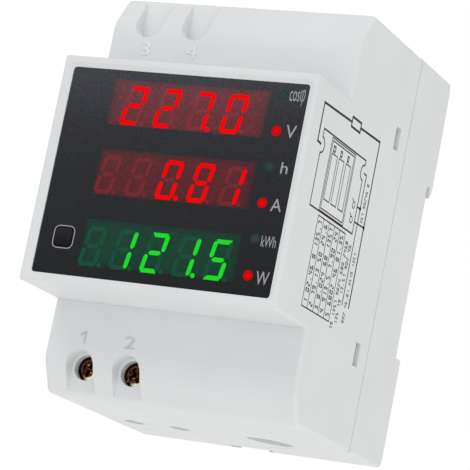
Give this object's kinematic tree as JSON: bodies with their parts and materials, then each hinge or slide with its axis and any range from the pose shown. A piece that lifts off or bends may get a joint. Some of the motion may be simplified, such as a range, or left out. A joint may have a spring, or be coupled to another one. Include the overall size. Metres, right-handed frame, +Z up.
{
  "type": "DIN rail energy meter",
  "caption": "Energy meter for a 35 mm rail: stepped white housing, black front with red and green readouts and a button, two screw terminals at its lower end, cable passage through the body.",
  "frame": {"origin": "middle of the seat that lies on the rail, at mid height and mid width of the housing", "axes": "+X to the right seen from the front, +Y from the front toward the rail, +Z up along the cable passage"},
  "size_m": [0.054, 0.0647, 0.081],
  "materials": {
    "housing_white": "fine matt, light grey white",
    "latch_white": "fine matt, light grey white",
    "panel_black": "semi-gloss black film",
    "filter_red": "smooth tinted red",
    "filter_green": "smooth tinted green",
    "button_black": "glossy black",
    "display_body": "matt grey, white segments",
    "led_red": "lit red lamp",
    "led_green": "unlit dark green lamp",
    "insulator_black": "matt black",
    "board_green": "solder mask",
    "chip_black": "matt black",
    "ribbon_grey": "smooth ribbon sheath",
    "capacitor_sleeve": "shrink sleeve",
    "capacitor_box": "moulded box",
    "varistor_blue": "dipped coating",
    "resistor_body": "lacquered",
    "ring_blue": "wound ring in a moulded case",
    "lead_white": "wire sheath",
    "screw_zinc": "yellow zinc plate",
    "steel": "plain bright steel",
    "contact_brass": "tinned brass"
  },
  "bodies": {
    "housing": {"front_cover": "housing_white", "rear_base": "housing_white", "front_panel": "panel_black", "red_filter_upper": "filter_red", "red_filter_middle": "filter_red", "green_filter_lower": "filter_green", "display_upper": "display_body", "display_middle": "display_body", "display_lower": "display_body", "switch_body": "insulator_black", "display_board": "board_green", "driver_chip": "chip_black", "board_link": "ribbon_grey", "main_board": "board_green", "metering_chip": "chip_black", "board_screw_1": "steel", "board_screw_2": "steel", "smoothing_capacitor": "capacitor_sleeve", "film_capacitor": "capacitor_box", "varistor": "varistor_blue", "fuse_resistor": "resistor_body", "current_transformer": "ring_blue", "transformer_lead_1": "lead_white", "transformer_lead_2": "lead_white", "passage_sleeve": "housing_white", "terminal_block": "insulator_black", "indicator_led_1": "led_green", "indicator_led_2": "led_red", "indicator_led_3": "led_green", "indicator_led_4": "led_red", "indicator_led_5": "led_green", "indicator_led_6": "led_red", "contact_tongue_1": "contact_brass", "contact_tongue_2": "contact_brass"},
    "button": {"push_button": "button_black", "switch_plunger": "insulator_black"},
    "latch": {"rail_latch": "latch_white", "latch_spring": "steel"},
    "screw_1": {"terminal_screw_1": "screw_zinc"},
    "cage_1": {"clamp_cage_1": "steel"},
    "screw_2": {"terminal_screw_2": "screw_zinc"},
    "cage_2": {"clamp_cage_2": "steel"}
  },
  "joints": [
    {"name": "button_press", "type": "slide", "parent": "housing", "child": "button", "axis": [0, 1, 0], "range_m": [0, 0.0005], "stiffness_N_per_m": 3000, "springref_m": -0.0001},
    {"name": "latch_slide", "type": "slide", "parent": "housing", "child": "latch", "axis": [0, 0, -1], "range_m": [0, 0.0024], "stiffness_N_per_m": 3000, "springref_m": -0.0005, "deforming": ["latch_spring"]},
    {"name": "screw_1_turn", "type": "hinge", "parent": "housing", "child": "screw_1", "pos_m": [-0.0193, -0.0406, -0.0348], "axis": [0, 1, 0], "range_deg": [0, 2160]},
    {"name": "cage_1_rise", "type": "slide", "parent": "housing", "child": "cage_1", "axis": [0, -1, 0], "range_m": [0, 0.003]},
    {"name": "screw_2_turn", "type": "hinge", "parent": "housing", "child": "screw_2", "pos_m": [-0.0091, -0.0406, -0.0348], "axis": [0, 1, 0], "range_deg": [0, 2160]},
    {"name": "cage_2_rise", "type": "slide", "parent": "housing", "child": "cage_2", "axis": [0, -1, 0], "range_m": [0, 0.003]}
  ],
  "couplings": [
    {"joint": "screw_1_turn", "follows": "cage_1_rise", "rad_per_m": 12565},
    {"joint": "screw_2_turn", "follows": "cage_2_rise", "rad_per_m": 12565}
  ]
}
